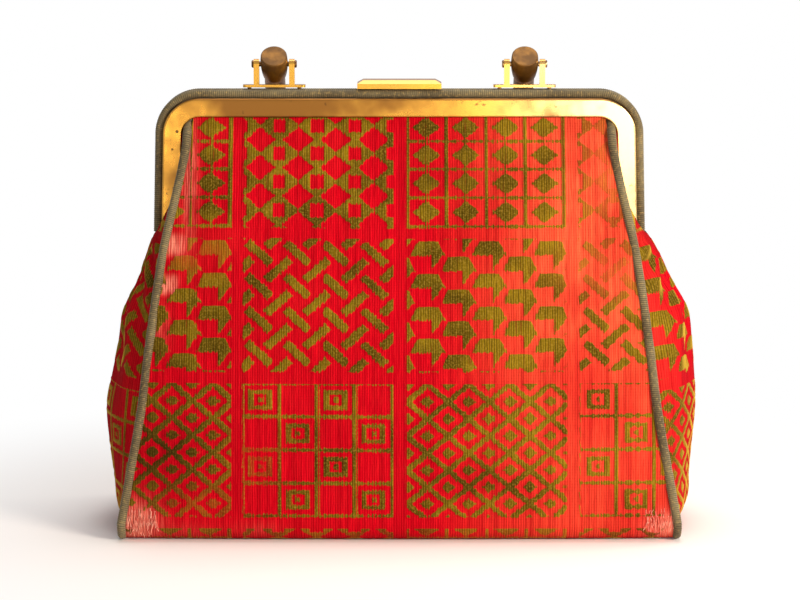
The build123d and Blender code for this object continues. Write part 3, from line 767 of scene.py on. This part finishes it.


# Worn and darkened places of a panel: strength, then middle and reach across and up in millimetres. Rubbed
# ones are down to pale threads and thinned ones have nearly lost their pile. Darkened ones are painted
# shade on the left side, away from the light, and darker patches of pile in the middle.
RUBBED = (
    (0.5, -104, 176, 3.5, 26), (0.3, -118, 105, 4, 8), (1.3, -130, 9, 9, 10), (0.9, 131, 7, 9, 7),
    (0.12, -108, 4, 16, 5), (0.12, -70, 6, 10, 4),
)
RUBBED_THROUGH = ((0.9, -111, 144, 5, 5), (0.9, -114.5, 125, 5, 4.5))
THINNED = (
    (0.95, 104, 182, 14, 34), (0.75, 106, 132, 20, 12), (0.7, -100, 140, 16, 9), (0.75, -70, 42, 11, 16),
    (0.55, -96, 19, 22, 9), (0.5, 0, 2, 150, 5),
)
DARKENED = (
    (0.9, -118, 42, 24, 30), (0.5, 30, 30, 26, 9), (0.5, 26, 177, 26, 8), (0.4, -116, 92, 10, 14),
)


def places_at(x, z, soft, sudden=()):
    """Listed places added up, at most 1: soft round ones and ones with a sudden edge."""
    total = np.zeros_like(x)
    for strength, *place in soft:
        total = total + strength * blob(x, z, *place)
    for strength, *place in sudden:
        total = total + strength * patch_at(x, z, *place)
    return np.clip(total, 0, 1)


def panel(side):
    points, cloth = panel_points()
    x, z = points[..., 0], points[..., 2]
    motif = velvet_pattern(cloth[..., 0], cloth[..., 1])
    worn, thin = places_at(x, z, RUBBED, RUBBED_THROUGH), places_at(x, z, THINNED)
    turned = ease(z, 4, 14)
    pile = pile_step(motif) * (1 - 0.8 * np.maximum(worn, thin))
    lift = (slack(x, z) + pile) * turned
    inside_frame = ease(-z, -206, -203)
    points = points + outward(points) * (lift * inside_frame)[..., None]
    # Lighter and more orange towards the right, more so higher up: partly fading, partly painted light from
    # the right
    faded = ease(x, 10, 100) * (0.4 + 0.5 * ease(z, 40, 130))
    if side == "back":
        points = half_turn(points)
    name = f"velvet_{side}_cloth"
    dark = places_at(x, z, DARKENED)
    obj = grid_piece(
        name, points, velvet, cloth=cloth, motif=motif, rubbed=worn, faded=faded, thin=thin, dark=dark,
    )
    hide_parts(f"velvet_{side}")
    follow(obj)


# Loose thread ends: radius, points along each, and the turns of its three sides
END_RADIUS = 0.14
END_POINTS = 6
END_SIDES = (0.0, 2.1, 4.2)


def frayed(name, middle, count):
    """Loose thread ends at a lower corner of the front panel that has worn through."""
    chance = np.random.default_rng(count)
    points, faces = [], []
    for _ in range(count):
        start = np.array([middle + chance.uniform(-7, 7), 0.0, chance.uniform(9, 17)])
        start[1] = -depth_at(start[2]) - swell_at(start[2]) * (1 - (start[0] / STATION) ** 2) - 0.2
        reach = np.array([chance.uniform(-1.6, 1.6), chance.uniform(-1.0, -0.2), -chance.uniform(3, 7.5)])
        curl = np.array([chance.uniform(-1.5, 1.5), chance.uniform(-0.9, 0.0), 0.0])
        for step in np.linspace(0, 1, END_POINTS):
            centre = start + reach * step + curl * step * step
            for angle in END_SIDES:
                points.append(centre + END_RADIUS * np.array([math.cos(angle), math.sin(angle), 0.0]))
        sides = len(END_SIDES)
        first = len(points) - sides * END_POINTS
        for i in range(END_POINTS - 1):
            for k in range(sides):
                a = first + sides * i + k
                b = first + sides * i + (k + 1) % sides
                faces.append((a, a + sides, b + sides, b))
    obj = linked(name, smooth_mesh(name, np.array(points), faces, thread_ends))
    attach(obj, "bag")


# Place of the base on the cloth
BASE_CLOTH = 250


def base():
    half = SEAM_BASE - SEAM_ROOM
    x = np.linspace(-half, half, 170)
    y = np.linspace(-BASE_HALF_DEPTH, BASE_HALF_DEPTH, 56)
    across, deep = np.meshgrid(x, y)
    points = np.stack([across, deep, np.full_like(across, OFF_FLOOR)], axis=-1)
    cloth = np.stack([across, deep + BASE_CLOTH], axis=-1)
    motif = velvet_pattern(cloth[..., 0], cloth[..., 1])
    worn = 0.35 * (blob(across, deep, 120, 30, 20, 12) + blob(across, deep, -120, -30, 20, 12))
    plain = 0 * worn
    obj = grid_piece(
        "velvet_base_cloth", points, velvet, cloth=cloth, motif=motif, rubbed=worn, faded=plain, thin=plain,
    )
    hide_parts("velvet_base")
    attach(obj, "bag")


# Gussets. Each sags in its own way: outward movement of its middle in millimetres at these heights.
# The notch for the legs of the frame opens and closes over the heights given for its foot and its head.

GUSSET_TOP = FACE_BOTTOM + 3.6
GUSSET_FOOT = 4.2
SEAM_LAP = 1.6
NOTCH_HALF = 9.9
NOTCH_FOOT = (145, 149.5)
NOTCH_HEAD = (172, 182)
SLIT_HALF = 1.0
SHOULDER = 5.5
FOLD_TURNS = 52 / math.pi
PATTERN_START = {"left": -68.0, "right": 8.0}
SAG_LEVELS = np.array([4.0, 13.0, 27.0, 44.0, 60.0, 76.0, 92.0, 108.0, 124.0, 140.0, 152.0])
SAGS = {
    "left": np.array([0.0, 3.3, 2.6, 2.0, 1.0, -1.8, -3.3, -3.0, -2.0, -0.4, 0.0]),
    "right": np.array([0.0, 6.0, 4.6, 3.2, 2.6, 2.2, 2.6, 3.4, 3.4, 2.6, 0.0]),
}


def gusset_half(side, front):
    """Half of a gusset on the right, from the seam to the mid plane, with its place on the cloth."""
    height = np.arange(GUSSET_TOP, GUSSET_FOOT, -CELL)
    seam, ridge = seam_at(height), ridge_at(height)
    end = seam_depth_at(height) - SEAM_ROOM + SEAM_LAP
    closed = ease(height, *NOTCH_HEAD)
    notch = NOTCH_HALF * ease(height, *NOTCH_FOOT) * (1 - closed) + SLIT_HALF * closed
    inner = np.minimum(notch, end - 0.6)
    share = np.linspace(0, 1, 66)
    y = end[:, None] + (inner - end)[:, None] * share[None, :]
    bow = (ridge - seam)[:, None]
    safe = np.where(np.abs(bow) < 0.4, 0.4, np.abs(bow))
    radius = (end[:, None] ** 2 + safe ** 2) / (2 * safe)
    rise = np.sqrt(np.maximum(radius ** 2 - y ** 2, 0)) - radius + safe
    x = seam[:, None] + np.sign(bow) * rise * np.minimum(np.abs(bow) / safe, 1)
    z = np.broadcast_to(height[:, None], x.shape).copy()
    x = x + smooth_curve(z, SAG_LEVELS, SAGS[side]) * (1 - (y / end[:, None]) ** 2)
    x = x + SHOULDER * ease(z, 168, 192) * np.sqrt(share)[None, :]
    spoke = np.arctan2(y, np.maximum(HINGE_Z - z, 1.0))
    far = np.hypot(y, HINGE_Z - z)
    fold = 1.3 * np.sin(spoke * FOLD_TURNS + 0.6) * ease(far, 6, 30) * ease(-far, -120, -40) * (z < HINGE_Z)
    dent = -2.2 * blob(y, z, 8, 124, 9, 9) + 1.6 * blob(y, z, 10, 106, 16, 12)
    points = np.stack([x, -y if front else y, z], axis=-1)
    down = np.broadcast_to((FACE_BOTTOM - height)[:, None] * 1.02, x.shape)
    cloth = np.stack([end[:, None] - y, down], axis=-1)
    if not front:
        points, cloth, fold, dent = points[:, ::-1], cloth[:, ::-1], fold[:, ::-1], dent[:, ::-1]
    return points, cloth, fold + dent


def gusset(side, half):
    points, cloth, shape = gusset_half(side, (half == "front") == (side == "right"))
    beside_seam = 1 - ease(cloth[..., 0], 3, 24)
    cloth = cloth + np.array([PATTERN_START[side], 0.0])
    motif = velvet_pattern(cloth[..., 0], cloth[..., 1])
    worn = 0.3 * ease(points[..., 2], 150, 200)
    points = points + outward(points) * (shape + 0.4 * pile_step(motif))[..., None]
    # Right gusset lighter beside its seam: partly fading, partly painted light from the right
    faded = beside_seam * (0.15 if side == "right" else 0.0)
    if side == "left":
        points = half_turn(points)
    name = f"gusset_{side}_{half}"
    obj = grid_piece(
        name, points, velvet, cloth=cloth, motif=motif, rubbed=worn, faded=faded, thin=0.5 * worn,
    )
    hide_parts(f"gusset_{side}")
    follow(obj)


# Piping and welts: turns of the gimp, and where the piping bends in under the frame

GIMP_PITCH = 1.0
PIPING_TOP = 207
PIPING_TUCK = (196, 204)
TUCKED_DEPTH = 5.4


def piping_path():
    """Right front seam from the frame down, round the foot and along the base to the mid plane."""
    height = np.linspace(PIPING_TOP, TURN, 226)
    out = seam_depth_at(height) + PIPING * ease(height, 176, 196)
    out = out + (TUCKED_DEPTH - out) * ease(height, *PIPING_TUCK)
    down = np.stack([seam_at(height) + 1.2 * ease(height, 190, 204), -out, height], axis=1)
    foot_out = out[-1]
    bend = np.linspace(0, math.pi / 2, 16)[1:]
    radius = TURN - PIPING
    knee = np.stack([
        SEAMS[0] + 0 * bend,
        -foot_out + radius * (1 - np.cos(bend)),
        TURN - radius * np.sin(bend),
    ], axis=1)
    run = np.linspace(0, 1, 40)[1:]
    along_base = np.stack([SEAMS[0] + 0 * run, knee[-1, 1] * (1 - run), PIPING + 0 * run], axis=1)
    return np.concatenate([down, knee, along_base])


def piping(side, half):
    flip = [1.0 if side == "right" else -1.0, 1.0 if half == "front" else -1.0, 1.0]
    path = piping_path() * np.array(flip)
    obj = corded(f"piping_{side}_{half}", path, PIPING, GIMP_PITCH, cord)
    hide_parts(f"piping_{side}")
    follow(obj)


def welt(half):
    """Cord along the outer edge of a frame half."""
    off = WELT - 0.1
    leg = FRAME_HALF + FRAME_FLARE + off
    top = FRAME_TOP + off
    lean = FRAME_FLARE / (FRAME_TOP - HINGE_Z)
    shoulder = leg - lean * (top - HINGE_Z)
    radius = FRAME_CORNER + off
    swing = math.pi / 2 - math.atan(lean)
    reach = radius * math.tan(swing / 2)
    start = np.array([shoulder + lean * reach, top - reach])
    centre = np.array([shoulder - reach, top - radius])
    angle = np.linspace(math.pi / 2 - swing, math.pi / 2, 40)
    corner = centre + radius * np.stack([np.cos(angle), np.sin(angle)], axis=1)
    side = np.stack([np.linspace(leg, start[0], 30), np.linspace(HINGE_Z, start[1], 30)], axis=1)
    right = np.concatenate([side[:-1], corner])
    left = right[::-1] * np.array([-1.0, 1.0])
    line = np.concatenate([right, left])
    y = -WELT_Y if half == "front" else WELT_Y
    path = np.stack([line[:, 0], np.full(len(line), y), line[:, 1]], axis=1)
    obj = corded(f"{half}_welt_cord", path, WELT, GIMP_PITCH, cord)
    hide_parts(f"{half}_welt")
    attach(obj, f"{half}_half")


# Lining: room inside the legs of the frame, where that begins below the hinge, gap to the velvet, tuck
# at the foot

LEG_ROOM = 9.7
BELOW_HINGE = 12.5
LINING_GAP = 2.0
LINING_TUCK = 4.0


def lining_half(front):
    """Half of the inner bag: front wall with half of both sides, then half the floor."""
    leg_inner = FRAME_HALF + FRAME_FLARE - LEG_ROOM
    inside = LEVELS > HINGE_Z - BELOW_HINGE
    widest = np.minimum(SEAMS, leg_inner)
    sides = LINING_SEAM * np.where(inside, widest, SEAMS)
    reaches = LINING_RIDGE * np.where(inside, widest, RIDGES)
    height = np.linspace(FACE_BOTTOM, TURN, 110)
    side = smooth_curve(height, LEVELS, sides) - LINING
    reach = smooth_curve(height, LEVELS, reaches) - LINING
    wall = depth_at(height) - CLOTH - LINING_GAP - 2 * LINING
    bow = swell_at(height) + LINING
    turn = np.linspace(0, math.pi / 2, 8)[1:]
    tuck = LINING_TUCK * (1 - np.cos(turn))
    height = np.concatenate([height, TURN - (TURN - LINING_FLOOR) * np.sin(turn)])
    side = np.concatenate([side, side[-1] - tuck])
    reach = np.concatenate([reach, reach[-1] - tuck])
    wall = np.concatenate([wall, wall[-1] - tuck])
    bow = np.concatenate([bow, bow[-1] + 0 * tuck])
    share = np.linspace(-1, 1, 101)
    x = share[None, :] * side[:, None]
    y = -(wall[:, None] + bow[:, None] * (1 - share[None, :] ** 2))
    step = np.linspace(0, 1, 16)[:-1]
    flank_y = -wall[:, None] * step[None, :]
    flank_x = reach[:, None] + (side - reach)[:, None] * step[None, :] ** 2
    x = np.concatenate([-flank_x, x, flank_x[:, ::-1]], axis=1)
    y = np.concatenate([flank_y, y, flank_y[:, ::-1]], axis=1)
    z = np.broadcast_to(height[:, None], x.shape)
    walls = np.stack([x, y, z], axis=-1)
    floor_rows = [walls[-1] * np.array([1.0, 1.0 - k, 1.0]) for k in np.linspace(0, 1, 14)[1:]]
    points = np.concatenate([walls, np.stack(floor_rows)])
    if not front:
        points = half_turn(points)
    return points


def lining(half):
    points = lining_half(half == "front")
    z = points[..., 2]
    ripple = 0.5 * np.sin(points[..., 0] / 6.5 + 0.8 * np.sin(z / 23))
    ripple = ripple * ease(z, 12, 40) * ease(-z, -200, -175)
    points = points - outward(points) * (ripple + 0.5)[..., None] * ease(z, 8, 14)[..., None]
    across = np.stack([along(row) for row in points])
    down = along(points[:, points.shape[1] // 2])
    cloth = np.stack(np.broadcast_arrays(across, down[:, None]), axis=-1)
    obj = grid_piece(f"lining_{half}", points[:, ::-1], twill, cloth=cloth[:, ::-1])
    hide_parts("lining")
    follow(obj)


panel("front")
panel("back")
base()
frayed("loose_threads_left", -127.0, 60)
frayed("loose_threads_right", 128.0, 36)
for side in ("left", "right"):
    for half in ("front", "back"):
        gusset(side, half)
        piping(side, half)
welt("front")
welt("back")
lining("front")
lining("back")


# Floor, light and camera

def floor():
    """Pale floor that turns plain white away from the bag."""
    mesh = bpy.data.meshes.new("floor")
    reach = 6.0
    white_from, white_at = 0.1, 0.36
    corners = [(-reach, -reach, 0), (reach, -reach, 0), (reach, reach, 0), (-reach, reach, 0)]
    mesh.from_pydata(corners, [], [(0, 1, 2, 3)])
    material, tree = new_material("floor")
    place = add(tree, "TexCoord", output="Object")
    far = add(tree, "VectorMath", {0: place}, "Value", operation="LENGTH")
    camera_ray = add(tree, "LightPath", output="Is Camera Ray")
    rays = camera_ray.node.outputs
    seen = add(tree, "Math", {0: camera_ray, 1: rays["Is Glossy Ray"]}, operation="MAXIMUM")
    seen = add(tree, "Math", {0: seen, 1: rays["Is Transmission Ray"]}, operation="MAXIMUM")
    share = add(tree, "MapRange", {0: far, 1: white_from, 2: white_at}, **SMOOTH)
    share = add(tree, "Math", {0: share, 1: seen}, operation="MULTIPLY")
    near = add(tree, "BsdfDiffuse", {"Color": linear("f8f1ec")})
    white = add(tree, "Emission", {"Color": linear("ffffff"), "Strength": 1.0})
    both = add(tree, "MixShader", {0: share, 1: near, 2: white})
    add(tree, "OutputMaterial", {"Surface": both})
    mesh.materials.append(material)
    linked("floor", mesh)


def aimed(name, data, place, target):
    """Lamp or camera at a place, turned to its target."""
    obj = linked(name, data)
    obj.location = place
    obj.rotation_mode = "QUATERNION"
    obj.rotation_quaternion = (Vector(target) - Vector(place)).to_track_quat("-Z", "Y")
    return obj


def lamp(name, place, target, size, power, colour="ffffff"):
    light = bpy.data.lights.new(name, "AREA")
    light.shape = "DISK"
    light.size = size
    light.energy = power
    light.color = linear(colour)[:3]
    aimed(name, light, place, target)


def surroundings():
    """White studio: white to the eye, softer in mirrors and softer still as a light."""
    in_mirrors, as_light = 0.7, 0.22
    world = bpy.data.worlds.new("studio")
    bpy.context.scene.world = world
    world.use_nodes = True
    tree = world.node_tree
    tree.nodes.clear()
    camera_ray = add(tree, "LightPath", output="Is Camera Ray")
    rays = camera_ray.node.outputs
    seen = add(tree, "Math", {0: camera_ray, 1: rays["Is Transmission Ray"]}, operation="MAXIMUM")
    glossy = add(tree, "Math", {0: rays["Is Glossy Ray"], 1: in_mirrors}, operation="MULTIPLY")
    seen = add(tree, "Math", {0: seen, 1: glossy}, operation="MAXIMUM")
    strength = add(tree, "Math", {0: seen, 1: as_light}, operation="MAXIMUM")
    back = add(tree, "Background", {"Color": linear("ffffff"), "Strength": strength})
    add(tree, "OutputWorld", {"Surface": back})


def camera():
    """View of the photo: long lens, a little above the bag."""
    data = bpy.data.cameras.new("camera")
    data.sensor_width = 36
    data.lens = 133.5
    tilt = math.radians(8.5)
    target = Vector((0.0003, 0, 0.1123))
    distance = 1.5
    place = target + Vector((0, -math.cos(tilt), math.sin(tilt))) * distance
    bpy.context.scene.camera = aimed("camera", data, place, target)


floor()
surroundings()
lamp("key", (0.8, -0.85, 0.5), (0.02, 0, 0.11), 0.45, 17.5, "fff4e6")
lamp("glint", (0.33, -1.5, 0.09), (0.1, 0, 0.19), 0.4, 3.2, "fff4e0")
lamp("left_glint", (-0.29, -1.5, 0.0), (-0.11, 0, 0.18), 0.2, 1.0, "fff0d0")
lamp("rim", (1.1, 0.35, 0.45), (0.1, 0, 0.1), 0.4, 3, "fff4e6")
lamp("fill", (-1.1, -1.2, 0.7), (0, 0, 0.11), 0.9, 0.4)
lamp("top", (0.1, 0.2, 1.4), (0, 0, 0.1), 0.9, 12)
camera()
bpy.context.scene.view_settings.view_transform = "Standard"
